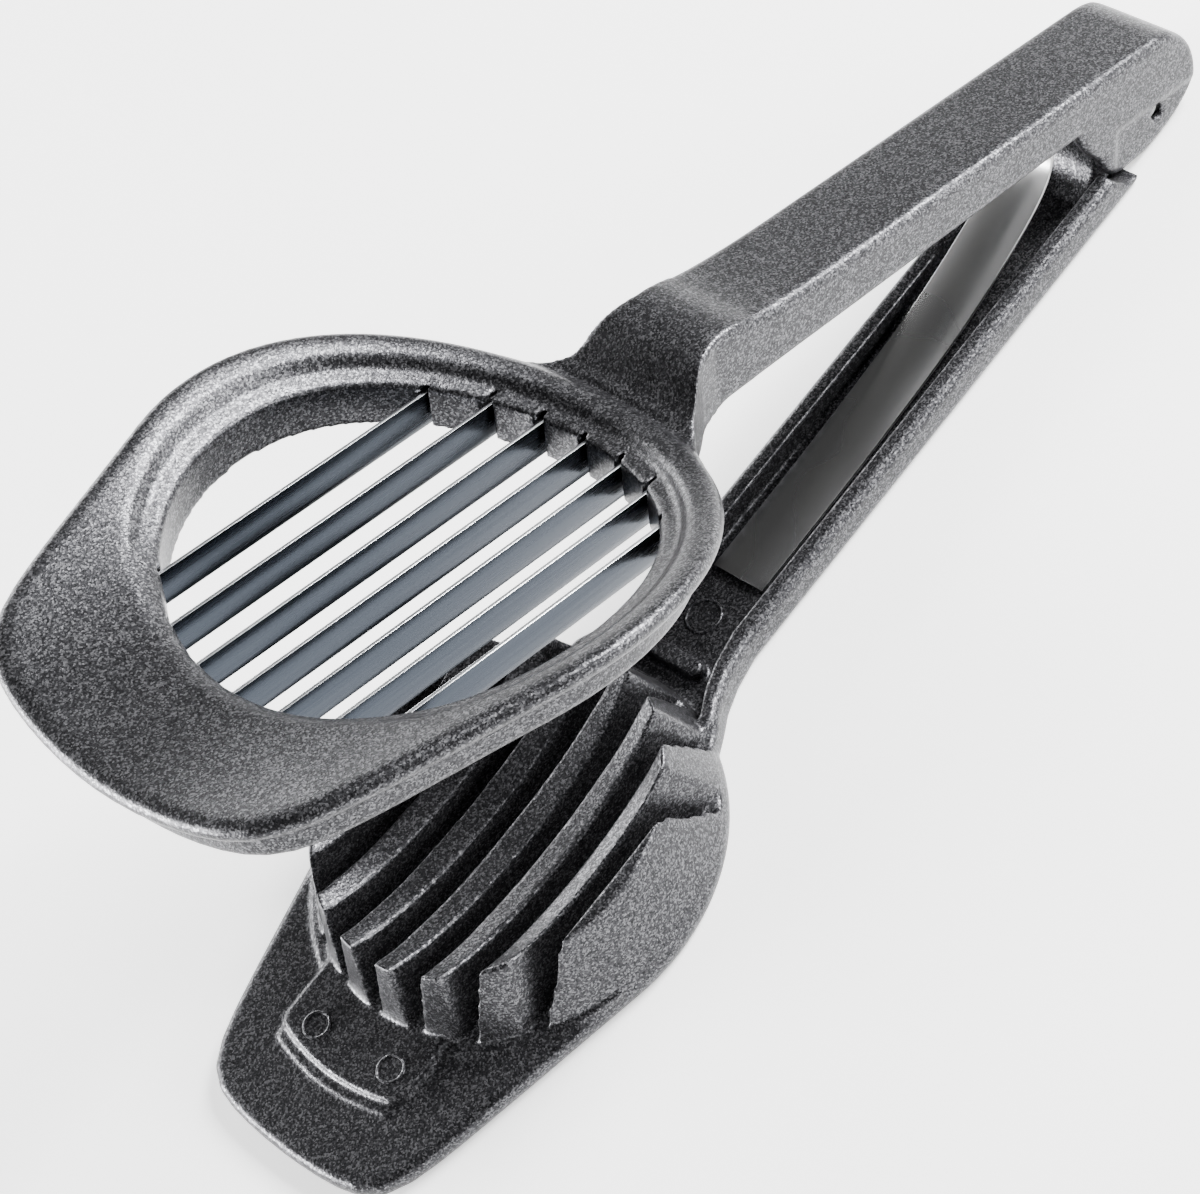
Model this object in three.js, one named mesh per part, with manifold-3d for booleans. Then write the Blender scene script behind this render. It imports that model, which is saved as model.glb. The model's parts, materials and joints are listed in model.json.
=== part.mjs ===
// Hand-held egg slicer: two cast arms on a cross pin, seven blades and a leaf spring.
// Millimetres, +Z up, +X from the hinge towards the blades. The lower arm lies flat on z = 0.
import * as THREE from 'three';
import { mergeVertices } from 'three/addons/utils/BufferGeometryUtils.js';
import Module from 'manifold-3d';

const wasm = await Module();
wasm.setup();

// ---- driving dimensions ----
const PIVOT_X = -83.5; // hinge axis, measured from the middle of the object
const PIVOT_Z = 7.2; // hinge axis above the table
const OPEN_ANGLE = 21.2; // degrees between the arms at rest

const BLADE_COUNT = 7;
const BLADE_PITCH = 7;
const BLADE_THICKNESS = 0.5;
const BLADE_HEIGHT = 5.1;
const BLADE_GAP = 0.3; // clearance between a blade and its slot
const BLADE_SEAT = 2.4; // how far a slot reaches into the frame

const CENTRE_X = 132.5; // middle of the opening and of the cradle, from the hinge
const FRAME_Z = 5.9; // blade top edge above the hinge axis when the arms are parallel
const TROUGH = 0.0058; // frame rises towards its two sides as TROUGH * y * y
const OPENING = { a: 29.8, b: 31.3 };
const FRAME_PLATE = { a: 37.8, b: 39.3, taper: 0.3, front: 50.6, crown: 0.006 };
const FRAME_CREST = 2.8; // rim crest above the blade tops
const SLOT_RISE = 1.05; // top of a blade slot above the blade tops
const FRAME_DEPTH = 5.3; // bottom of the inner wall below the blade tops

const HANDLE_HALF = 7.7; // upper handle, half its width
const HANDLE_ROUND = 1.2;
const HANDLE_WALL = 1.8;
const HANDLE_ROOF = 2.2;
const EAR_RADIUS = 5.8;
const PIN_RADIUS = 1.5;
const PIN_BORE = 1.85;

const BASE_Z = -PIVOT_Z; // underside of the lower arm, from the hinge axis
const TRAY_TOP = -3.5;
const TRAY_PLATE = { a: 30, b: 28.7, taper: 0.24, front: 51.3, crown: 0.006 };
const RIM_TOP = -1.7;
const CHANNEL_FLOOR = -5.4;
const CHANNEL_HALF = 6.5;
const LOWER_HALF = 9.3;
const TONGUE_HALF = 5.5;
const TONGUE_RADIUS = 5;

const CRADLE = { a: 29.8, b: 28.4, topScale: 0.86, top: 10 };
const DISH = { a: 29, b: 25, depth: 10, low: 3.3 };
const SLOT_TOP = 3.6;
const SLOT_BOTTOM = 1.9;
const SLOT_FLOOR = -3.1;

const SPRING_WIDTH = 9;
const SPRING_THICKNESS = 0.6;

const COATED_METAL = { color: 0x4a4a4e, roughness: 0.55, metalness: 0.7 };
const BLADE_STEEL = { color: 0x8f979f, roughness: 0.25, metalness: 1 };
const SPRING_STEEL = { color: 0xb4b6b8, roughness: 0.3, metalness: 1 };
const PIN_STEEL = { color: 0xa6a8aa, roughness: 0.35, metalness: 1 };

const X = new THREE.Vector3(1, 0, 0);
const Y = new THREE.Vector3(0, 1, 0);
const Z = new THREE.Vector3(0, 0, 1);

// ---- solids ----
function solid(geometry) {
  const bare = geometry.index ? geometry.toNonIndexed() : geometry;
  bare.deleteAttribute('normal');
  bare.deleteAttribute('uv');
  const welded = mergeVertices(bare, 1e-4);
  return new wasm.Manifold(new wasm.Mesh({
    numProp: 3,
    vertProperties: new Float32Array(welded.attributes.position.array),
    triVerts: new Uint32Array(welded.index.array),
  }));
}

function geometryOf(body) {
  const mesh = body.getMesh();
  const geometry = new THREE.BufferGeometry();
  geometry.setAttribute('position', new THREE.BufferAttribute(mesh.vertProperties, 3));
  geometry.setIndex(new THREE.BufferAttribute(mesh.triVerts, 1));
  geometry.computeVertexNormals();
  return geometry;
}

// The outline as points, without the doubled ones where two curves meet.
function cleaned(outline, curveSegments) {
  const points = outline.getPoints(curveSegments);
  return new THREE.Shape(points.filter((point, i) => {
    const before = points[(i + points.length - 1) % points.length];
    return point.distanceTo(before) > 1e-3;
  }));
}

// An outline drawn in plan, standing from zLow to zHigh, with rounded edges if asked.
function plate(outline, zLow, zHigh, round = 0, curveSegments = 16) {
  const geometry = new THREE.ExtrudeGeometry(cleaned(outline, curveSegments), {
    depth: zHigh - zLow - 2 * round,
    bevelEnabled: round > 0,
    bevelThickness: round,
    bevelSize: round,
    bevelOffset: -round,
    bevelSegments: 3,
  });
  geometry.translate(0, 0, zLow + round);
  return geometry;
}

// An outline drawn in side view (x, z), as wide as 2 * half across the object.
function slab(outline, half, round = 0, curveSegments = 10) {
  const geometry = plate(outline, -half, half, round, curveSegments);
  geometry.applyMatrix4(new THREE.Matrix4().makeBasis(X, Z, Y.clone().negate()));
  return geometry;
}

// An outline drawn in cross-section (y, z), running from xLow to xHigh.
function bar(outline, xLow, xHigh) {
  const geometry = plate(outline, xLow, xHigh);
  geometry.applyMatrix4(new THREE.Matrix4().makeBasis(Y, Z, X));
  return geometry;
}

function box(xLow, xHigh, yLow, yHigh, zLow, zHigh) {
  const geometry = new THREE.BoxGeometry(xHigh - xLow, yHigh - yLow, zHigh - zLow);
  geometry.translate((xLow + xHigh) / 2, (yLow + yHigh) / 2, (zLow + zHigh) / 2);
  return geometry;
}

function crossCylinder(radius, half, x, z, segments = 32) {
  const geometry = new THREE.CylinderGeometry(radius, radius, 2 * half, segments);
  geometry.translate(x, 0, z);
  return geometry;
}

function outlineOf(points) {
  return new THREE.Shape(points.map(([u, v]) => new THREE.Vector2(u, v)));
}

function mirrored(points) {
  return points.concat(points.slice().reverse().map(([x, y]) => [x, -y]));
}

// ---- plan curves shared by both arms ----
function ovalRadius(angle, oval) {
  return 1 / Math.hypot(Math.cos(angle) / oval.a, Math.sin(angle) / oval.b);
}

// Oval at the back, straight tapering sides that leave it as tangents, crowned front edge.
function plateRadius(angle, outline) {
  const c = Math.cos(angle);
  const s = Math.abs(Math.sin(angle));
  const oval = ovalRadius(angle, outline);
  const sideAt = Math.hypot(outline.b, outline.taper * outline.a);
  if (oval * c < (outline.taper * outline.a * outline.a) / sideAt) return oval;
  const side = sideAt / (s + outline.taper * c);
  const root = Math.sqrt(c * c + 4 * outline.crown * s * s * outline.front);
  const front = (2 * outline.front) / (c + root);
  const sharpness = 14;
  return (side ** -sharpness + front ** -sharpness) ** (-1 / sharpness);
}

function closedOutline(radiusAt, segments) {
  const points = [];
  for (let i = 0; i < segments; i += 1) {
    const angle = (2 * Math.PI * i) / segments;
    const radius = radiusAt(angle);
    points.push([CENTRE_X + radius * Math.cos(angle), radius * Math.sin(angle)]);
  }
  return outlineOf(points);
}

// A closed profile of [radius, z] pairs carried once round the middle of the opening.
function ring(profileAt, segments) {
  const positions = [];
  const indices = [];
  const count = profileAt(0).length;
  for (let i = 0; i < segments; i += 1) {
    const angle = (2 * Math.PI * i) / segments;
    for (const [radius, z] of profileAt(angle)) {
      positions.push(CENTRE_X + radius * Math.cos(angle), radius * Math.sin(angle), z);
    }
    const next = (i + 1) % segments;
    for (let j = 0; j < count; j += 1) {
      const k = (j + 1) % count;
      const a = i * count + j;
      const b = next * count + j;
      const c = next * count + k;
      const d = i * count + k;
      indices.push(a, c, d, a, b, c);
    }
  }
  const geometry = new THREE.BufferGeometry();
  geometry.setAttribute('position', new THREE.Float32BufferAttribute(positions, 3));
  geometry.setIndex(indices);
  return geometry;
}

function bladeY(index) {
  return (index - (BLADE_COUNT - 1) / 2) * BLADE_PITCH;
}

function bladeHalfLength(y) {
  return OPENING.a * Math.sqrt(1 - (y / OPENING.b) ** 2) + BLADE_SEAT;
}

// ---- upper arm, drawn with the arms parallel ----
const SKIRT_INSET = 3.4;
const SKIRT_THICK = 2.2;

// Top of the rim near the opening: [distance from the inner wall, height at the sides, height at the lip].
const RIM_TOP_LINE = [
  [4.1, 2.75, 2.8],
  [3.3, 2.4, 2.8],
  [2.9, 1.7, 2.75],
  [2.4, 1.35, 2.6],
  [1.1, 1.3, 2.1],
  [0.3, 1.2, 1.5],
  [0, 1, 0.9],
];

// A groove runs inside the rim at the sides and the back; the lip in front is smooth.
function frameProfile(angle) {
  const inner = ovalRadius(angle, OPENING);
  const outer = plateRadius(angle, FRAME_PLATE);
  const lip = THREE.MathUtils.smoothstep(Math.cos(angle), 0.5, 0.85);
  const top = RIM_TOP_LINE.map(([step, atSide, atLip]) => (
    [inner + step, FRAME_Z + THREE.MathUtils.lerp(atSide, atLip, lip)]
  ));
  return [
    [inner, FRAME_Z - FRAME_DEPTH],
    [outer - SKIRT_INSET - 0.5, FRAME_Z - FRAME_DEPTH],
    [outer - SKIRT_INSET, FRAME_Z - FRAME_DEPTH + 0.6],
    [outer - SKIRT_INSET + 0.2, FRAME_Z - 0.7],
    [outer - 1.2, FRAME_Z - 0.5],
    [outer - 0.3, FRAME_Z + 0.1],
    [outer, FRAME_Z + 1],
    [outer - 0.4, FRAME_Z + 2],
    [outer - 1.3, FRAME_Z + 2.6],
    [outer - 2.6, FRAME_Z + FRAME_CREST],
    ...top,
  ];
}

// The lip in front of the opening is a shell, open below.
function lipPocket() {
  const reach = 0.8;
  const steps = 24;
  const outer = [];
  const inner = [];
  for (let i = 0; i <= steps; i += 1) {
    const angle = reach * (1 - (2 * i) / steps);
    const near = ovalRadius(angle, OPENING) + SKIRT_THICK;
    const far = plateRadius(angle, FRAME_PLATE) - SKIRT_INSET - SKIRT_THICK;
    outer.push([CENTRE_X + far * Math.cos(angle), far * Math.sin(angle)]);
    inner.unshift([CENTRE_X + near * Math.cos(angle), near * Math.sin(angle)]);
  }
  return plate(outlineOf(outer.concat(inner)), FRAME_Z - FRAME_DEPTH - 1, FRAME_Z - 0.4);
}

// Side view of the handle: rounded rear end, ear below the pin, long top, raised shoulder.
function handleSide() {
  const side = new THREE.Shape();
  side.moveTo(10.6, 5.4);
  side.quadraticCurveTo(9.2, 1.4, EAR_RADIUS * Math.cos(-0.2), EAR_RADIUS * Math.sin(-0.2));
  side.absarc(0, 0, EAR_RADIUS, -0.2, -1.75, true);
  side.lineTo(-5, -5.4);
  side.quadraticCurveTo(-14.2, -2.6, -16.4, 1.9);
  side.quadraticCurveTo(-16.6, 8.6, -10.5, 12);
  side.quadraticCurveTo(-8.5, 12.7, -6, 12.7);
  side.lineTo(60, 13.1);
  side.quadraticCurveTo(74, 13.4, 79, 14.6);
  side.quadraticCurveTo(84.5, 16, 88.5, 14.2);
  side.lineTo(88.5, 4.4);
  return side;
}

// Side view of the neck: a step down from the shoulder to the rim of the frame.
function neckSide() {
  const side = new THREE.Shape();
  side.moveTo(78, 14.4);
  side.quadraticCurveTo(84.5, 16, 88.5, 14.2);
  side.bezierCurveTo(91.5, 12.8, 91.5, 8.2, 96, FRAME_Z + 1.7);
  side.lineTo(99, FRAME_Z + 1.6);
  side.lineTo(99, FRAME_Z - FRAME_DEPTH);
  side.lineTo(98, FRAME_Z - FRAME_DEPTH);
  side.quadraticCurveTo(92, FRAME_Z - FRAME_DEPTH, 90, FRAME_Z - 3.4);
  side.quadraticCurveTo(88, FRAME_Z - 1.2, 78, FRAME_Z - 1.2);
  return side;
}

function neckPlan() {
  return outlineOf(mirrored([
    [76, HANDLE_HALF - 0.3],
    [84, HANDLE_HALF - 0.3],
    [89, HANDLE_HALF + 0.8],
    [93, HANDLE_HALF + 3],
    [97, HANDLE_HALF + 7],
    [99, HANDLE_HALF + 10.5],
  ]));
}

function handleCavity() {
  const inside = outlineOf([
    [-9.4, -8],
    [9.4, -8],
    [84, 2],
    [84, 13.6 - HANDLE_ROOF],
    [60, 13.1 - HANDLE_ROOF],
    [-5.5, 12.7 - HANDLE_ROOF],
    [-9.4, 8.8],
  ]);
  return slab(inside, HANDLE_HALF - HANDLE_WALL);
}

// Raises the sides of the frame, and leaves the handle straight.
function trough(geometry) {
  const place = geometry.attributes.position;
  for (let i = 0; i < place.count; i += 1) {
    const share = THREE.MathUtils.smoothstep(place.getX(i), 84, 98);
    place.setZ(i, place.getZ(i) + share * TROUGH * place.getY(i) ** 2);
  }
  geometry.computeVertexNormals();
  return geometry;
}

function upperArmGeometry() {
  const neck = solid(slab(neckSide(), 22)).intersect(solid(plate(neckPlan(), -2, 20)));
  let arm = solid(ring(frameProfile, 96))
    .subtract(solid(lipPocket()))
    .add(neck)
    .add(solid(slab(handleSide(), HANDLE_HALF, HANDLE_ROUND)))
    .subtract(solid(handleCavity()))
    .subtract(solid(crossCylinder(PIN_BORE, HANDLE_HALF + 1, 0, 0)))
    .subtract(solid(crossCylinder(1.2, HANDLE_HALF + 1, -7.5, 0.3, 20)));
  for (let i = 0; i < BLADE_COUNT; i += 1) {
    const y = bladeY(i);
    const half = bladeHalfLength(y) + BLADE_GAP;
    const side = BLADE_THICKNESS / 2 + BLADE_GAP;
    arm = arm.subtract(solid(box(
      CENTRE_X - half, CENTRE_X + half, y - side, y + side,
      FRAME_Z - FRAME_DEPTH - 1, FRAME_Z + SLOT_RISE,
    )));
  }
  return trough(geometryOf(arm));
}

function bladeGeometry(index) {
  const y = bladeY(index);
  const half = bladeHalfLength(y);
  const top = FRAME_Z + TROUGH * y * y;
  return box(
    CENTRE_X - half, CENTRE_X + half,
    y - BLADE_THICKNESS / 2, y + BLADE_THICKNESS / 2,
    top - BLADE_HEIGHT, top,
  );
}

// ---- lower arm ----
function cradleBody() {
  const profile = [
    new THREE.Vector2(0, TRAY_TOP - 1),
    new THREE.Vector2(1, TRAY_TOP - 1),
    new THREE.Vector2(1, TRAY_TOP),
    new THREE.Vector2(CRADLE.topScale + 0.008, CRADLE.top - 0.8),
    new THREE.Vector2(CRADLE.topScale - 0.02, CRADLE.top),
    new THREE.Vector2(0, CRADLE.top),
  ];
  const geometry = new THREE.LatheGeometry(profile, 72);
  geometry.rotateX(Math.PI / 2);
  geometry.scale(CRADLE.a, CRADLE.b, 1);
  geometry.translate(CENTRE_X, 0, 0);
  return geometry;
}

function dish() {
  const geometry = new THREE.SphereGeometry(1, 40, 28);
  geometry.scale(DISH.a, DISH.b, DISH.depth);
  geometry.translate(CENTRE_X, 0, DISH.low + DISH.depth);
  return geometry;
}

function slot(y) {
  const section = outlineOf([
    [y - SLOT_BOTTOM / 2 + 0.3, SLOT_FLOOR],
    [y + SLOT_BOTTOM / 2 - 0.3, SLOT_FLOOR],
    [y + SLOT_BOTTOM / 2, SLOT_FLOOR + 0.5],
    [y + SLOT_TOP / 2, CRADLE.top + 1],
    [y - SLOT_TOP / 2, CRADLE.top + 1],
    [y - SLOT_BOTTOM / 2, SLOT_FLOOR + 0.5],
  ]);
  return bar(section, CENTRE_X - 34, CENTRE_X + 34);
}

function lowerPlan(half, xBack) {
  return outlineOf(mirrored([
    [xBack, half],
    [92, half],
    [97, half + 0.9],
    [101, half + 2.3],
    [104, half + 4],
    [106, half + 5],
    [108, half + 5.8],
  ]));
}

function frontPad() {
  const pad = new THREE.Shape();
  pad.moveTo(158, -11.5);
  pad.lineTo(168.6, -11.5);
  pad.quadraticCurveTo(170, -11.5, 170.6, -10);
  pad.quadraticCurveTo(173.6, 0, 170.6, 10);
  pad.quadraticCurveTo(170, 11.5, 168.6, 11.5);
  pad.lineTo(158, 11.5);
  return plate(pad, TRAY_TOP - 1, TRAY_TOP + 1.5, 0.4);
}

function crossBar() {
  const half = 4.2;
  const radius = 1.3;
  const x = 98.6;
  const stadium = new THREE.Shape();
  stadium.moveTo(x + radius, -half);
  stadium.lineTo(x + radius, half);
  stadium.absarc(x, half, radius, 0, Math.PI, false);
  stadium.lineTo(x - radius, -half);
  stadium.absarc(x, -half, radius, Math.PI, 2 * Math.PI, false);
  return plate(stadium, CHANNEL_FLOOR - 0.6, CHANNEL_FLOOR + 2.2, 0.3, 8);
}

function tongueSide() {
  const side = new THREE.Shape();
  side.moveTo(9.5, BASE_Z + 0.6);
  side.lineTo(9.5, CHANNEL_FLOOR + 0.4);
  side.quadraticCurveTo(6, -4, TONGUE_RADIUS, 0);
  side.absarc(0, 0, TONGUE_RADIUS, 0, 1.25 * Math.PI, false);
  side.lineTo(-3, BASE_Z + 0.6);
  return side;
}

function lowerArmGeometry() {
  const tray = closedOutline((angle) => plateRadius(angle, TRAY_PLATE), 96);
  const earSeat = solid(crossCylinder(EAR_RADIUS + 0.5, LOWER_HALF + 2, 0, 0, 48))
    .subtract(solid(box(-12, 12, -TONGUE_HALF, TONGUE_HALF, -12, 12)));
  let arm = solid(plate(lowerPlan(LOWER_HALF, 1.2), BASE_Z, RIM_TOP, 1.1))
    .subtract(solid(plate(lowerPlan(CHANNEL_HALF, 3), CHANNEL_FLOOR, 4)))
    .add(solid(plate(tray, BASE_Z, TRAY_TOP, 1.3)))
    .add(solid(slab(tongueSide(), TONGUE_HALF)))
    .add(solid(crossBar()))
    .add(solid(cradleBody()))
    .subtract(solid(dish()));
  for (let i = 0; i < BLADE_COUNT; i += 1) {
    arm = arm.subtract(solid(slot(bladeY(i))));
  }
  return geometryOf(arm
    .add(solid(frontPad()))
    .subtract(earSeat)
    .subtract(solid(crossCylinder(PIN_BORE, LOWER_HALF + 2, 0, 0))));
}

// ---- pin and spring ----
function pinGeometry() {
  return crossCylinder(PIN_RADIUS, HANDLE_HALF - 0.2, 0, 0, 28);
}

// A strip bent back on itself: one leg in the lower channel, one under the upper roof.
function springGeometry() {
  const angle = THREE.MathUtils.degToRad(OPEN_ANGLE);
  const raised = (x, z) => new THREE.Vector2(
    x * Math.cos(angle) - z * Math.sin(angle),
    x * Math.sin(angle) + z * Math.cos(angle),
  );
  const path = new THREE.SplineCurve([
    new THREE.Vector2(84, -4.7),
    new THREE.Vector2(58, -4.2),
    new THREE.Vector2(38, -2.9),
    new THREE.Vector2(22, 0.3),
    new THREE.Vector2(13.4, 4),
    new THREE.Vector2(10.6, 9),
    raised(16.5, 8.6),
    raised(30, 9.4),
    raised(52, 10.2),
  ]);
  const steps = 40;
  const left = [];
  const right = [];
  for (let i = 0; i <= steps; i += 1) {
    const point = path.getPointAt(i / steps);
    const along = path.getTangentAt(i / steps);
    const offset = SPRING_THICKNESS / 2;
    left.push([point.x - along.y * offset, point.y + along.x * offset]);
    right.unshift([point.x + along.y * offset, point.y - along.x * offset]);
  }
  return slab(outlineOf(left.concat(right)), SPRING_WIDTH / 2);
}

// ---- assembly ----
function part(name, geometry, material) {
  const mesh = new THREE.Mesh(geometry, new THREE.MeshStandardMaterial(material));
  mesh.name = name;
  return mesh;
}

const slicer = new THREE.Group();
slicer.name = 'egg_slicer';

const lower = new THREE.Group();
lower.name = 'lower_side';
lower.position.set(PIVOT_X, 0, PIVOT_Z);
lower.add(part('lower_arm_casting', lowerArmGeometry(), COATED_METAL));
lower.add(part('hinge_pin', pinGeometry(), PIN_STEEL));
lower.add(part('leaf_spring', springGeometry(), SPRING_STEEL));
slicer.add(lower);

const upper = new THREE.Group();
upper.name = 'upper_side';
upper.position.set(PIVOT_X, 0, PIVOT_Z);
upper.rotation.y = -THREE.MathUtils.degToRad(OPEN_ANGLE);
upper.add(part('upper_arm_casting', upperArmGeometry(), COATED_METAL));
for (let i = 0; i < BLADE_COUNT; i += 1) {
  upper.add(part(`blade_${i + 1}`, bladeGeometry(i), BLADE_STEEL));
}
slicer.add(upper);

export default slicer;
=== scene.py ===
# Hand-held egg slicer: two coated castings on a pin, seven steel blades and a leaf spring.
import json
import math

import bpy
from mathutils import Matrix, Vector


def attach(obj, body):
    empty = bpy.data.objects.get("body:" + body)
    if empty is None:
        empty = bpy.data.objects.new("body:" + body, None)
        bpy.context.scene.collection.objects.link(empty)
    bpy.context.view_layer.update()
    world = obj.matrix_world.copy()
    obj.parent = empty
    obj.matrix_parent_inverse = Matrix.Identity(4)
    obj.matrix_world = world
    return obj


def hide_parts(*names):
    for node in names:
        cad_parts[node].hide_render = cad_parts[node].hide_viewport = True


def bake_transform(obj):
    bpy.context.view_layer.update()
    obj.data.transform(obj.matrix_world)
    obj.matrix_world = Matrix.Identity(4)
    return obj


# Lengths are millimetres and places are (x, y, z) from the hinge, unless a comment says otherwise.
# The upper arm's are given with the arms parallel.
MM = 0.001  # metres
OPEN_ANGLE = math.radians(21.2)  # between the arms at rest
SAME = 1e-6  # metres, within which two heights or places are the same
SLIVER = 0.006  # edges shorter than this are merged away

# Blades and the opening that they cross
BLADE_COUNT = 7
BLADE_PITCH = 7.0
BLADE_THICKNESS = 0.5
BLADE_HEIGHT = 5.1
BLADE_SEAT = 2.4  # how far a blade reaches into the frame at each end
BLADE_TOP = 5.9  # of the middle blade
BLADE_EASE = 0.08
PAINTED_HIGHLIGHT_DEPTH = 0.3  # faces this close to a blade's top take the painted highlight steel
GRIND_HEIGHT = 1.1  # the lower edge is ground over this height
GRIND_SHARE = 0.3  # share of the thickness left at the very edge
OPENING_CENTRE = 132.5
OPENING_HALF_LENGTH = 29.8
OPENING_HALF_WIDTH = 31.3
TROUGH = 0.0058  # the frame rises towards its sides as TROUGH * y * y
NOTCH_END = 0.35  # room beyond each end of a blade
NOTCH_HALF = 0.6
NOTCH_RISE = 1.05  # above a blade's top
NOTCH_DEPTH = 8.0  # below a blade's top

# Rear of the upper arm
EAR_FACE = 7.7  # outer faces of the upper arm's ears
EAR_RECESS = 0.35
EAR_CLEAR = 1.5  # how far the recess cutters stand out beyond the ears
EAR_LOBE = ((-20, -9), (2.4, 2.3))  # low and high corner, in x and z, of the recessed lobe
CAP_RADIUS = 2.6  # a cap in each ear closes the pin's bore from outside
CAP_DEPTH = 0.55  # from the ear's face to the middle of the cap
CAP_THICKNESS = 1.0
REAR_HOLLOW = ((-13.4, -5.9, -9), (-9, 5.9, 7.4))
CROSS_HOLE = (-7.5, 0, 0.3)
CROSS_HOLE_RADIUS = 1.0
CROSS_HOLE_LENGTH = 30  # reaches past both ears

PIN_RADIUS = 1.5
PIN_LENGTH = 13.0
PIN_EASE = 0.35

# Spring: its line in side view, as x and z
SPRING_LOWER = [(84, -4.7), (71, -4.55), (58, -4.2), (38, -2.9), (22, 0.3), (13.4, 4), (10.6, 9)]
SPRING_UPPER = [(16.5, 8.6), (30, 9.4), (52, 10.2)]
SPRING_HALF = 4.5
SPRING_THICKNESS = 0.6
SPRING_EASE = 0.12
SPRING_STEPS = 8  # between two knots of its line

# Lower arm: heights, then the cradle as half axes of ovals round OPENING_CENTRE
TRAY_TOP = -3.5
PAD_TOP = -2.0
CHANNEL_FLOOR = -5.4
CRADLE_TOP = 10
CRADLE_BASE = (29.8, 28.4)
CRADLE_WALL_TOP = (25.6, 25.4)
WALL_ROOT = 0.5  # how far the wall reaches down into the tray
DISH = (29, 24.9, 10)
DISH_LOW = 3.3  # lowest point of the hollow
LAST_SLOT_EDGE = 23.1
CRADLE_INSIDE = ((90, -LAST_SLOT_EDGE, -10), (175, LAST_SLOT_EDGE, 20))  # left free of the wall
SLOT_FOOT = 1.9  # width of a cradle slot at its foot
SLOT_MOUTH = 4.7  # and its width SLOT_ABOVE over the cradle
SLOT_ABOVE = 1
SLOT_FLOOR = -1.95  # just above the top of the pad, so that the pad stays whole
SLOT_REACH = 34  # each way from the middle of the cradle
CRADLE_FOOT = (31.6, 28.6)  # the low step round the cradle
CRADLE_FOOT_HEIGHT = 1.1
CRADLE_FOOT_FRONT = 9  # the step starts this far in front of the middle
BEYOND_CRADLE = 40

PAD_ARC_CENTRE = 138.1
PAD_LEDGE_ARC = 35.6
PAD_LEDGE_HALF = 10.6
PAD_LEDGE_HEIGHT = 1.0
PAD_LEDGE_FROM = 162
PAD_LEDGE_TO = 176
EJECTOR_WIRE = 0.24
EJECTOR_RINGS = (  # radius and place
    (1.9, (168, -6, PAD_TOP)),
    (1.9, (167, 7.5, PAD_TOP)),
    (2.6, (91, -1, CHANNEL_FLOOR)),
)

CASTING_GRAIN = 0.3  # finest detail that the cast surface keeps
CASTING_PASSES = 14
CASTING_TRIANGLES = 185000

# Patterns, in repeats per metre
FLAKE_SCALE = 4400
CAST_SCALE = 2700
DRIFT_SCALE = 60
CLOUD_SCALE = 35
SCRATCH_SCALE = 2400
BLADE_STRETCH = (12, 900, 900)  # draws a blade's lines out along it
MIX_A, MIX_B, MIX_RESULT = 6, 7, 2  # colour sockets of the mix node

# Studio, in metres and watts
FLOOR_SIZE = 6
FLOOR_GLOW = 0.8
STUDIO_MIDDLE = Vector((0.02, 0, 0.04))
SOFT_BOXES = (  # name, place from the middle, size and power
    ("hinge_side_box", (-0.72, 0.16, 0.58), (0.4, 0.36), 40),
    ("front_box", (0.75, -0.5, 0.12), (0.7, 0.25), 40),
    ("near_box", (-0.55, 0.72, 0.3), (0.5, 0.25), 13),
    ("far_strip", (0.05, -0.85, 0.2), (0.9, 0.2), 11),
)

# Camera: its places in metres, its lens and sensor in millimetres
EYE = Vector((0.11977, 0.24649, 0.37483))
AIM = Vector((0.01923, -0.00033, 0.025))
CAMERA_ROLL = math.radians(-32.85)
SENSOR_WIDTH = 36
LENS = 100
NEAREST = 0.01

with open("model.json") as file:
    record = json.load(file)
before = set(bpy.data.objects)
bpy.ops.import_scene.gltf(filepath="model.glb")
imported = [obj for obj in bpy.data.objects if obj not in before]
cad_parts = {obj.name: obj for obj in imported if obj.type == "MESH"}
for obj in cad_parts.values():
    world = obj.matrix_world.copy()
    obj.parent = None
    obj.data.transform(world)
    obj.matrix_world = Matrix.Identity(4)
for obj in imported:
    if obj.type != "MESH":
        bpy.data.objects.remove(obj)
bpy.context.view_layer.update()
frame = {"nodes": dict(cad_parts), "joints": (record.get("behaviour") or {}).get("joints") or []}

HINGE = Vector(frame["joints"][0]["pos_m"])
RAISED = (
    Matrix.Translation(HINGE)
    @ Matrix.Rotation(-OPEN_ANGLE, 4, "Y")
    @ Matrix.Translation(-HINGE)
)


# ---------------------------------------------------------------- bench work


def deselect():
    bpy.ops.object.select_all(action="DESELECT")


def take(piece):
    deselect()
    piece.select_set(True)
    bpy.context.view_layer.objects.active = piece
    return piece


def at(x, y, z):
    """A point given in millimetres from the hinge, arms parallel."""
    return HINGE + Vector((x, y, z)) * MM


def settle(piece):
    """Puts the piece's place into its mesh, and its object at the origin."""
    take(piece)
    bpy.ops.object.transform_apply(location=True, rotation=True, scale=True)
    return piece


def modify(piece, kind, **settings):
    take(piece)
    modifier = piece.modifiers.new(kind.title(), kind)
    for name, value in settings.items():
        setattr(modifier, name, value)
    bpy.ops.object.modifier_apply(modifier=modifier.name)
    return piece


def block(name, low, high):
    """A box between two corners in millimetres from the hinge."""
    deselect()
    middle = [(a + b) / 2 for a, b in zip(low, high)]
    bpy.ops.mesh.primitive_cube_add(size=1, location=at(*middle))
    piece = bpy.context.object
    piece.name = name
    piece.scale = [(b - a) * MM for a, b in zip(low, high)]
    return settle(piece)


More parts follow.
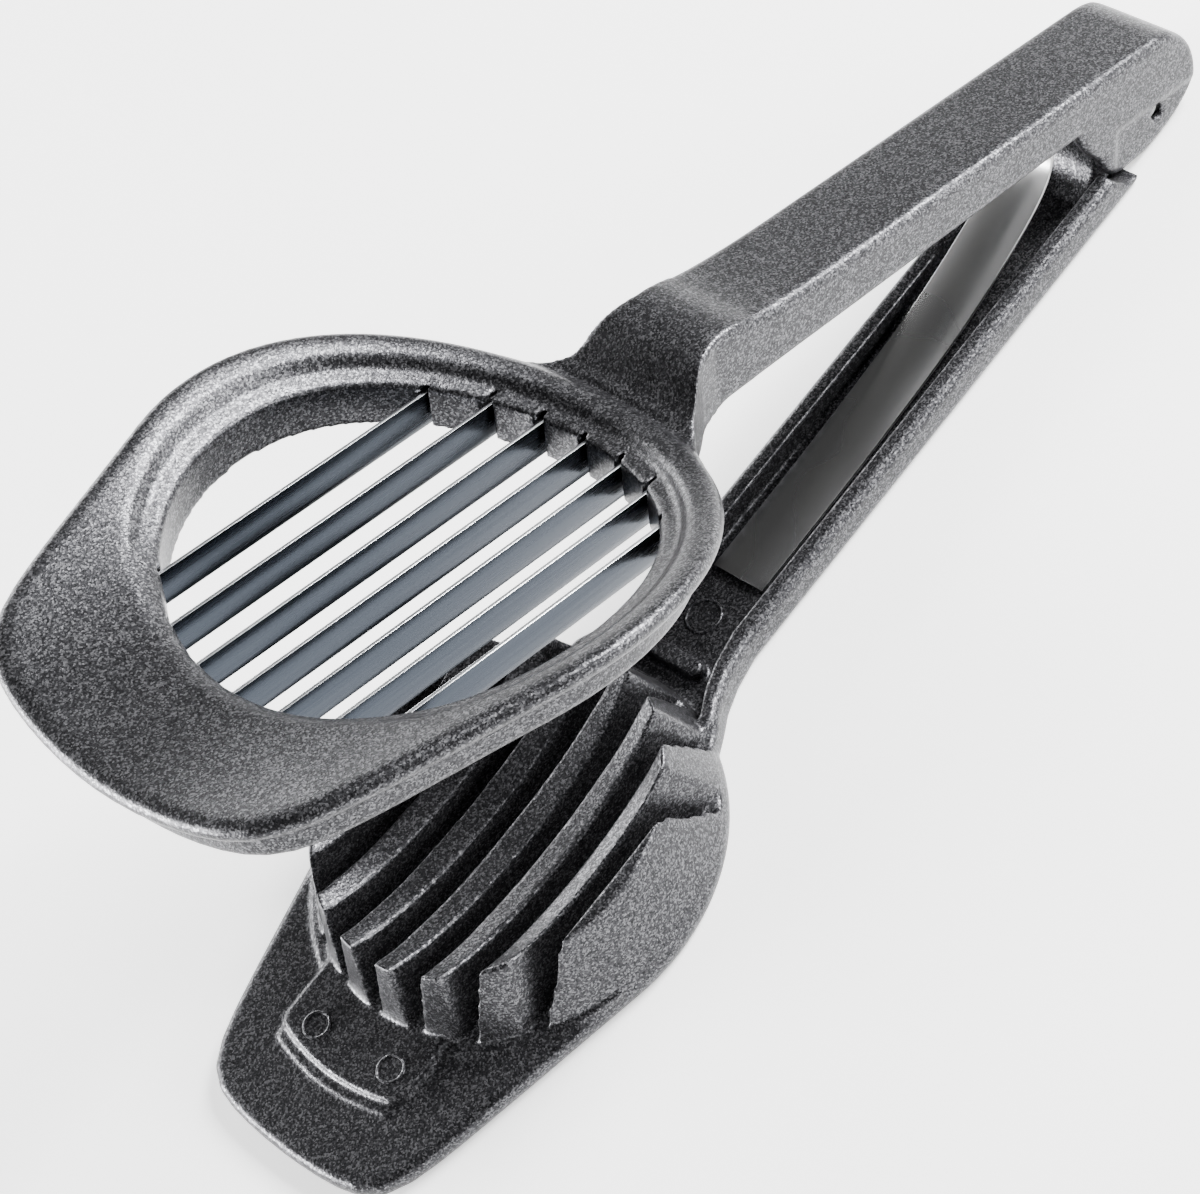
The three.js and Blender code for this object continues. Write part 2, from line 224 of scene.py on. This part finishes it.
def rod(name, radius, place, length, sides=48):
    """A round bar across the arms, centred on a place in millimetres from the hinge."""
    across = (math.pi / 2, 0, 0)
    deselect()
    bpy.ops.mesh.primitive_cylinder_add(
        vertices=sides, radius=radius * MM, depth=length * MM, location=at(*place), rotation=across
    )
    piece = bpy.context.object
    piece.name = name
    return settle(piece)


def oval(name, half_axes, place, height, sides=144):
    """A flat oval disc, its middle at a place in millimetres from the hinge."""
    deselect()
    bpy.ops.mesh.primitive_cylinder_add(
        vertices=sides, radius=MM, depth=height * MM, location=at(*place)
    )
    piece = bpy.context.object
    piece.name = name
    piece.scale = (*half_axes, 1)
    return settle(piece)


def hoop(name, radius, wire, place):
    """A flat ring of round wire, its middle at a place in millimetres from the hinge."""
    deselect()
    bpy.ops.mesh.primitive_torus_add(
        major_radius=radius * MM,
        minor_radius=wire * MM,
        major_segments=40,
        minor_segments=8,
        location=at(*place),
    )
    piece = bpy.context.object
    piece.name = name
    return settle(piece)


def gather(tools):
    """Makes one object of tools that do not touch each other."""
    deselect()
    for tool in tools:
        tool.select_set(True)
    bpy.context.view_layer.objects.active = tools[0]
    bpy.ops.object.join()
    return tools[0]


def combine(piece, tools, operation):
    """Joins the tools on to the piece, or cuts them out of it, and uses them up."""
    tool = gather(tools) if len(tools) > 1 else tools[0]
    modify(piece, "BOOLEAN", operation=operation, solver="EXACT", object=tool)
    bpy.data.objects.remove(tool, do_unlink=True)
    return piece


def raise_up(piece, back=False):
    """Turns a piece of the upper arm from arms parallel to the open rest position, or back."""
    piece.data.transform(RAISED.inverted() if back else RAISED)
    return piece


def casting_from(node, name):
    """A merged copy of a casting's plain solid, to be worked into the finished one."""
    take(frame["nodes"][node])
    bpy.ops.object.duplicate(linked=False)
    piece = bpy.context.object
    piece.name = name
    piece.data.name = name
    piece.parent = None
    for key in list(piece.keys()):
        del piece[key]
    bpy.ops.object.mode_set(mode="EDIT")
    bpy.ops.mesh.select_all(action="SELECT")
    bpy.ops.mesh.remove_doubles(threshold=SAME)
    bpy.ops.object.mode_set(mode="OBJECT")
    return piece


def soften(piece):
    """Gives the casting its rounded edges and fillets, on a mesh that is fine only where it curves."""
    modify(piece, "REMESH", mode="VOXEL", voxel_size=CASTING_GRAIN * MM, use_smooth_shade=True)
    modify(piece, "SMOOTH", factor=0.5, iterations=CASTING_PASSES)
    triangles = sum(len(face.vertices) - 2 for face in piece.data.polygons)
    modify(piece, "DECIMATE", decimate_type="COLLAPSE", ratio=min(1, CASTING_TRIANGLES / triangles))
    return piece


def clean(piece):
    """Merges away the very short edges that cuts and bevels leave behind."""
    take(piece)
    bpy.ops.object.mode_set(mode="EDIT")
    bpy.ops.mesh.select_mode(type="VERT")
    bpy.ops.mesh.select_all(action="SELECT")
    bpy.ops.mesh.remove_doubles(threshold=SLIVER * MM)
    bpy.ops.mesh.dissolve_degenerate(threshold=SLIVER * MM)
    bpy.ops.mesh.delete_loose()
    bpy.ops.object.mode_set(mode="OBJECT")
    return piece


def smooth_by(piece, degrees):
    take(piece)
    bpy.ops.object.shade_smooth_by_angle(angle=math.radians(degrees))
    return piece


def widen(piece, height, shares, centre):
    """Scales the vertices at one height about a centre, as the top of a tapered cutter or wall."""
    level = at(0, 0, height).z
    take(piece)
    bpy.ops.object.mode_set(mode="EDIT")
    bpy.ops.mesh.select_mode(type="VERT")
    bpy.ops.mesh.select_all(action="DESELECT")
    bpy.ops.object.mode_set(mode="OBJECT")
    for vertex in piece.data.vertices:
        vertex.select = abs(vertex.co.z - level) < SAME
    bpy.ops.object.mode_set(mode="EDIT")
    bpy.ops.transform.resize(value=(*shares, 1), center_override=at(*centre))
    bpy.ops.object.mode_set(mode="OBJECT")
    return piece


# ---------------------------------------------------------------- materials


def grain_of(tree, kind, coordinates, scale, **inputs):
    node = tree.nodes.new(kind)
    tree.links.new(coordinates, node.inputs["Vector"])
    node.inputs["Scale"].default_value = scale
    for name, value in inputs.items():
        node.inputs[name].default_value = value
    return node


def ramp_of(tree, source, stops):
    ramp = tree.nodes.new("ShaderNodeValToRGB")
    tree.links.new(source, ramp.inputs["Fac"])
    while len(ramp.color_ramp.elements) < len(stops):
        ramp.color_ramp.elements.new(0.5)
    for element, (place, shade) in zip(ramp.color_ramp.elements, stops):
        element.position = place
        element.color = (*shade, 1) if isinstance(shade, tuple) else (shade, shade, shade, 1)
    return ramp.outputs["Color"]


def new_material(name):
    material = bpy.data.materials.new(name)
    material.use_nodes = True
    tree = material.node_tree
    shader = tree.nodes["Principled BSDF"]
    coordinates = tree.nodes.new("ShaderNodeTexCoord").outputs["Object"]
    return material, tree, shader, coordinates


def bumps(tree, shader, layers):
    """Stacks height patterns, each with its depth in metres, on the shader's normal."""
    normal = None
    for height, depth, strength in layers:
        bump = tree.nodes.new("ShaderNodeBump")
        bump.inputs["Distance"].default_value = depth
        bump.inputs["Strength"].default_value = strength
        tree.links.new(height, bump.inputs["Height"])
        if normal is not None:
            tree.links.new(normal, bump.inputs["Normal"])
        normal = bump.outputs["Normal"]
    tree.links.new(normal, shader.inputs["Normal"])


def graphite_coating():
    """Dark graphite coating with metal flakes over a fine cast grain."""
    material, tree, shader, where = new_material("graphite_coating")
    flakes = grain_of(tree, "ShaderNodeTexVoronoi", where, FLAKE_SCALE, Randomness=1.0)
    cloud = grain_of(tree, "ShaderNodeTexNoise", where, CAST_SCALE, Detail=3.0, Roughness=0.7)
    drift = grain_of(tree, "ShaderNodeTexNoise", where, DRIFT_SCALE, Detail=3.0, Roughness=0.5)
    spread = tree.nodes.new("ShaderNodeSeparateColor")
    tree.links.new(flakes.outputs["Color"], spread.inputs["Color"])
    shades = [(0.38, (0.004, 0.004, 0.005)), (0.66, (0.042, 0.042, 0.046))]
    base = ramp_of(tree, cloud.outputs["Fac"], shades)
    glint = ramp_of(tree, spread.outputs["Red"], [(0.0, 0.0), (0.55, 0.03), (1.0, 0.8)])
    mixed = tree.nodes.new("ShaderNodeMix")
    mixed.data_type = "RGBA"
    tree.links.new(glint, mixed.inputs["Factor"])
    tree.links.new(base, mixed.inputs[MIX_A])
    mixed.inputs[MIX_B].default_value = (0.17, 0.17, 0.18, 1)
    tree.links.new(mixed.outputs[MIX_RESULT], shader.inputs["Base Color"])
    sheen = ramp_of(tree, drift.outputs["Fac"], [(0.3, 0.3), (0.7, 0.37)])
    tree.links.new(sheen, shader.inputs["Roughness"])
    shader.inputs["Metallic"].default_value = 0.8
    layers = [(cloud.outputs["Fac"], 0.00004, 0.8), (flakes.outputs["Distance"], 0.00003, 0.5)]
    bumps(tree, shader, layers)
    return material


def blade_steel(name, dark, light):
    """Cold-rolled strip: faint lines along the blade on a smooth blue-grey steel."""
    material, tree, shader, where = new_material(name)
    turn = tree.nodes.new("ShaderNodeMapping")
    turn.inputs["Rotation"].default_value = (0, OPEN_ANGLE, 0)
    tree.links.new(where, turn.inputs["Vector"])
    stretch = tree.nodes.new("ShaderNodeMapping")
    stretch.inputs["Scale"].default_value = BLADE_STRETCH
    tree.links.new(turn.outputs["Vector"], stretch.inputs["Vector"])
    lines = grain_of(tree, "ShaderNodeTexNoise", stretch.outputs["Vector"], 3.0, Detail=3.0)
    tint = ramp_of(tree, lines.outputs["Fac"], [(0.3, dark), (0.7, light)])
    tree.links.new(tint, shader.inputs["Base Color"])
    sheen = ramp_of(tree, lines.outputs["Fac"], [(0.3, 0.24), (0.7, 0.32)])
    tree.links.new(sheen, shader.inputs["Roughness"])
    shader.inputs["Metallic"].default_value = 1.0
    bumps(tree, shader, [(lines.outputs["Fac"], 0.00001, 0.3)])
    return material


def bright_steel(name, low, high):
    """Rolled spring or pin stock: a soft cloudy shine with very fine scratches."""
    material, tree, shader, where = new_material(name)
    cloud = grain_of(tree, "ShaderNodeTexNoise", where, CLOUD_SCALE, Detail=2.0)
    fine = grain_of(tree, "ShaderNodeTexNoise", where, SCRATCH_SCALE, Detail=2.0)
    tint = ramp_of(tree, cloud.outputs["Fac"], [(0.3, (low, low, low)), (0.7, (high, high, high))])
    tree.links.new(tint, shader.inputs["Base Color"])
    sheen = ramp_of(tree, cloud.outputs["Fac"], [(0.3, 0.26), (0.7, 0.3)])
    tree.links.new(sheen, shader.inputs["Roughness"])
    shader.inputs["Metallic"].default_value = 1.0
    bumps(tree, shader, [(fine.outputs["Fac"], 0.00002, 0.25)])
    return material


def pale_floor():
    """A light table: a pale sheet with a little glow of its own."""
    material, tree, shader, where = new_material("pale_floor")
    cloud = grain_of(tree, "ShaderNodeTexNoise", where, 4, Detail=2.0)
    tint = ramp_of(tree, cloud.outputs["Fac"], [(0.3, 0.88), (0.7, 0.9)])
    tree.links.new(tint, shader.inputs["Base Color"])
    shader.inputs["Roughness"].default_value = 0.7
    shader.inputs["Emission Color"].default_value = (1, 1, 1, 1)
    shader.inputs["Emission Strength"].default_value = FLOOR_GLOW
    return material


def dress(piece, material, body=None):
    piece.data.materials.clear()
    piece.data.materials.append(material)
    if body:
        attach(piece, body)
    return piece


coating = graphite_coating()
# The blades' two steels are lit and shaded copies of one steel: the sides are painted dark as painted
# shade and reflection, and the top faces are painted near white as a painted highlight.
blade_side_painted_shade = blade_steel("blade_side_painted_shade", (0.034, 0.040, 0.050), (0.044, 0.051, 0.062))
blade_top_painted_highlight = blade_steel("blade_top_painted_highlight", (0.72, 0.74, 0.77), (0.82, 0.84, 0.86))
spring_steel = bright_steel("spring_steel", 0.31, 0.35)
pin_steel = bright_steel("pin_steel", 0.45, 0.58)


# ---------------------------------------------------------------- upper arm


def blade_y(index):
    return (index - (BLADE_COUNT - 1) / 2) * BLADE_PITCH


def blade_half_length(y):
    return OPENING_HALF_LENGTH * math.sqrt(1 - (y / OPENING_HALF_WIDTH) ** 2) + BLADE_SEAT


def ear_recesses():
    """The lower lobe of each ear lies a little deeper than the handle's side."""
    (x_low, z_low), (x_high, z_high) = EAR_LOBE
    recesses = []
    for side in (-1, 1):
        low, high = sorted((side * (EAR_FACE - EAR_RECESS), side * (EAR_FACE + EAR_CLEAR)))
        recesses.append(block("recess", (x_low, low, z_low), (x_high, high, z_high)))
    return recesses


def upper_arm():
    arm = raise_up(casting_from("upper_arm_casting", "upper_arm"), back=True)
    caps = []
    for side in (-1, 1):
        middle = (0, side * (EAR_FACE - CAP_DEPTH), 0)
        caps.append(rod("cap", CAP_RADIUS, middle, CAP_THICKNESS))
    combine(arm, caps, "UNION")
    hollow = block("hollow", *REAR_HOLLOW)
    combine(arm, [hollow] + ear_recesses(), "DIFFERENCE")
    soften(arm)
    cuts = []
    for index in range(BLADE_COUNT):
        y = blade_y(index)
        top = BLADE_TOP + TROUGH * y * y
        half = blade_half_length(y) + NOTCH_END
        low = (OPENING_CENTRE - half, y - NOTCH_HALF, top - NOTCH_DEPTH)
        high = (OPENING_CENTRE + half, y + NOTCH_HALF, top + NOTCH_RISE)
        cuts.append(block("notch", low, high))
    cuts.append(rod("cross_hole", CROSS_HOLE_RADIUS, CROSS_HOLE, CROSS_HOLE_LENGTH, sides=24))
    combine(arm, cuts, "DIFFERENCE")
    clean(arm)
    smooth_by(raise_up(arm), 40)
    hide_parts("upper_arm_casting")
    return dress(arm, coating, "upper_arm")


def blade(index):
    """A strip with its lower edge ground from both sides, and eased corners."""
    y = blade_y(index)
    top = BLADE_TOP + TROUGH * y * y
    half = blade_half_length(y)
    low = (OPENING_CENTRE - half, y - BLADE_THICKNESS / 2, top - BLADE_HEIGHT)
    high = (OPENING_CENTRE + half, y + BLADE_THICKNESS / 2, top)
    strip = block(f"blade_{index + 1}_strip", low, high)
    take(strip)
    bpy.ops.object.mode_set(mode="EDIT")
    bpy.ops.mesh.select_all(action="SELECT")
    ground = at(0, 0, top - BLADE_HEIGHT + GRIND_HEIGHT)
    bpy.ops.mesh.bisect(plane_co=ground, plane_no=(0, 0, 1))
    bpy.ops.object.mode_set(mode="OBJECT")
    widen(strip, top - BLADE_HEIGHT, (1, GRIND_SHARE), (0, y, 0))
    modify(strip, "BEVEL", width=BLADE_EASE * MM, segments=2, limit_method="ANGLE")
    clean(strip)
    # Faces at a blade's top take the painted highlight steel, and the rest take the painted shade
    # steel.
    upper = at(0, 0, top - PAINTED_HIGHLIGHT_DEPTH).z
    painted_highlight_faces = [face.index for face in strip.data.polygons if face.center.z > upper]
    smooth_by(raise_up(strip), 30)
    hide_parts(f"blade_{index + 1}")
    dress(strip, blade_side_painted_shade, "upper_arm")
    strip.data.materials.append(blade_top_painted_highlight)
    for face in painted_highlight_faces:
        strip.data.polygons[face].material_index = 1
    return strip


# ---------------------------------------------------------------- lower arm


def cradle_slots():
    """Tapered cutters that open each slot towards its mouth."""
    cutters = []
    mouth = CRADLE_TOP + SLOT_ABOVE
    for index in range(BLADE_COUNT):
        y = blade_y(index)
        low = (OPENING_CENTRE - SLOT_REACH, y - SLOT_FOOT / 2, SLOT_FLOOR)
        high = (OPENING_CENTRE + SLOT_REACH, y + SLOT_FOOT / 2, mouth)
        cutter = block("slot", low, high)
        shares = (1, SLOT_MOUTH / SLOT_FOOT)
        cutters.append(widen(cutter, mouth, shares, (OPENING_CENTRE, y, mouth)))
    return cutters


def cradle_wall():
    """The outer wall beyond the last slot on each side, thick enough for an even ridge."""
    height = CRADLE_TOP - TRAY_TOP + WALL_ROOT
    middle = (OPENING_CENTRE, 0, CRADLE_TOP - height / 2)
    wall = oval("wall", CRADLE_BASE, middle, height, sides=240)
    shares = [top / base for top, base in zip(CRADLE_WALL_TOP, CRADLE_BASE)]
    widen(wall, CRADLE_TOP, shares, (OPENING_CENTRE, 0, CRADLE_TOP))
    inside = block("inside", *CRADLE_INSIDE)
    return combine(wall, [inside], "DIFFERENCE")


def dish():
    """The hollow that the egg lies in."""
    deselect()
    bpy.ops.mesh.primitive_uv_sphere_add(
        segments=160, ring_count=96, radius=MM, location=at(OPENING_CENTRE, 0, DISH_LOW + DISH[2])
    )
    bowl = bpy.context.object
    bowl.scale = DISH
    return settle(bowl)


def cradle_foot():
    """A low step round the front of the cradle, where its wall runs into the tray."""
    foot = oval("foot", CRADLE_FOOT, (OPENING_CENTRE, 0, TRAY_TOP), CRADLE_FOOT_HEIGHT)
    low = (OPENING_CENTRE + CRADLE_FOOT_FRONT, -BEYOND_CRADLE, TRAY_TOP - 1)
    high = (OPENING_CENTRE + BEYOND_CRADLE, BEYOND_CRADLE, TRAY_TOP + 1)
    keep = block("keep", low, high)
    return combine(foot, [keep], "INTERSECT")


def pad_ledge():
    """A low step round the front of the pad."""
    arc = (PAD_LEDGE_ARC, PAD_LEDGE_ARC)
    ledge = oval("ledge", arc, (PAD_ARC_CENTRE, 0, TRAY_TOP), PAD_LEDGE_HEIGHT)
    low = (PAD_LEDGE_FROM, -PAD_LEDGE_HALF, TRAY_TOP - 1)
    high = (PAD_LEDGE_TO, PAD_LEDGE_HALF, TRAY_TOP + 1)
    keep = block("keep", low, high)
    return combine(ledge, [keep], "INTERSECT")


def lower_arm():
    arm = casting_from("lower_arm_casting", "lower_arm")
    combine(arm, [pad_ledge()], "UNION")
    combine(arm, [cradle_foot()], "UNION")
    combine(arm, [cradle_wall()], "UNION")
    combine(arm, [dish()], "DIFFERENCE")
    combine(arm, cradle_slots(), "DIFFERENCE")
    soften(arm)
    marks = [hoop("mark", radius, EJECTOR_WIRE, place) for radius, place in EJECTOR_RINGS]
    combine(arm, marks, "UNION")
    clean(arm)
    smooth_by(arm, 40)
    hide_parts("lower_arm_casting")
    return dress(arm, coating, "lower_arm")


def hinge_pin():
    """A plain pin with eased ends, closed in by the ears."""
    pin = rod("pin", PIN_RADIUS, (0, 0, 0), PIN_LENGTH, sides=40)
    modify(pin, "BEVEL", width=PIN_EASE * MM, segments=3, limit_method="ANGLE")
    smooth_by(pin, 40)
    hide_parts("hinge_pin")
    return dress(pin, pin_steel, "lower_arm")


def strip_path():
    """The spring's line in side view, from the lower channel up into the upper arm."""
    c, s = math.cos(OPEN_ANGLE), math.sin(OPEN_ANGLE)
    knots = SPRING_LOWER + [(x * c - z * s, x * s + z * c) for x, z in SPRING_UPPER]
    knots = [Vector(k) for k in knots]
    ends = [2 * knots[0] - knots[1]] + knots + [2 * knots[-1] - knots[-2]]
    line = []
    for i in range(len(knots) - 1):
        a, b, p, q = ends[i : i + 4]
        for k in range(SPRING_STEPS):
            t = k / SPRING_STEPS
            first = (p - a) * t
            second = (2 * a - 5 * b + 4 * p - q) * t * t
            third = (3 * b - a - 3 * p + q) * t**3
            line.append(0.5 * (2 * b + first + second + third))
    line.append(knots[-1])
    return line


def leaf_spring():
    """One strip, drawn out of its first edge along its line, then given its thickness."""
    line = strip_path()
    deselect()
    bpy.ops.mesh.primitive_plane_add(size=1, location=(0, 0, 0))
    strip = bpy.context.object
    strip.name = "spring_strip"
    corners = [at(line[i].x, side * SPRING_HALF, line[i].y) for i in (0, 1) for side in (-1, 1)]
    for vertex, corner in zip(strip.data.vertices, corners):
        vertex.co = corner
    strip.data.update()
    for i in range(1, len(line) - 1):
        take(strip)
        bpy.ops.object.mode_set(mode="EDIT")
        bpy.ops.mesh.select_mode(type="VERT")
        bpy.ops.mesh.select_all(action="DESELECT")
        bpy.ops.object.mode_set(mode="OBJECT")
        here = at(line[i].x, 0, line[i].y)
        for vertex in strip.data.vertices:
            vertex.select = abs(vertex.co.x - here.x) < SAME and abs(vertex.co.z - here.z) < SAME
        bpy.ops.object.mode_set(mode="EDIT")
        bpy.ops.mesh.select_mode(type="EDGE")
        step = at(line[i + 1].x, 0, line[i + 1].y) - here
        bpy.ops.mesh.extrude_region_move(TRANSFORM_OT_translate={"value": step})
        bpy.ops.object.mode_set(mode="OBJECT")
    modify(strip, "SOLIDIFY", thickness=SPRING_THICKNESS * MM, offset=0)
    modify(
        strip,
        "BEVEL",
        width=SPRING_EASE * MM,
        segments=2,
        limit_method="ANGLE",
        angle_limit=math.radians(60),
    )
    smooth_by(strip, 40)
    dress(strip, spring_steel)
    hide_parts("leaf_spring")
    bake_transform(strip)
    return strip


upper_arm()
for number in range(BLADE_COUNT):
    blade(number)
lower_arm()
hinge_pin()
leaf_spring()


# ---------------------------------------------------------------- floor, light and camera


def floor():
    deselect()
    bpy.ops.mesh.primitive_plane_add(size=FLOOR_SIZE, location=(0, 0, 0))
    ground = bpy.context.object
    ground.name = "floor"
    ground.data.materials.append(pale_floor())


def soft_light(name, place, aim, width, height, watts):
    data = bpy.data.lights.new(name, "AREA")
    data.shape = "RECTANGLE"
    data.size = width
    data.size_y = height
    data.energy = watts
    lamp = bpy.data.objects.new(name, data)
    bpy.context.scene.collection.objects.link(lamp)
    lamp.location = place
    lamp.rotation_euler = (Vector(aim) - Vector(place)).to_track_quat("-Z", "Y").to_euler()
    return lamp


def studio():
    """A dim room that is brighter near the floor, with four soft boxes round the table."""
    world = bpy.data.worlds.new("studio")
    world.use_nodes = True
    tree = world.node_tree
    background = tree.nodes["Background"]
    direction = tree.nodes.new("ShaderNodeTexCoord").outputs["Generated"]
    height = tree.nodes.new("ShaderNodeSeparateXYZ")
    tree.links.new(direction, height.inputs["Vector"])
    room = ramp_of(tree, height.outputs["Z"], [(0.0, 0.6), (0.25, 0.34), (0.6, 0.14), (1.0, 0.1)])
    tree.links.new(room, background.inputs["Color"])
    background.inputs["Strength"].default_value = 1.0
    bpy.context.scene.world = world
    for name, side, size, watts in SOFT_BOXES:
        soft_light(name, STUDIO_MIDDLE + Vector(side), STUDIO_MIDDLE, *size, watts)


def camera():
    data = bpy.data.cameras.new("camera")
    data.sensor_width = SENSOR_WIDTH
    data.lens = LENS
    data.clip_start = NEAREST
    turned = (AIM - EYE).to_track_quat("-Z", "Y").to_matrix().to_4x4()
    view = bpy.data.objects.new("camera", data)
    bpy.context.scene.collection.objects.link(view)
    view.matrix_world = Matrix.Translation(EYE) @ turned @ Matrix.Rotation(CAMERA_ROLL, 4, "Z")
    bpy.context.scene.camera = view


floor()
studio()
camera()
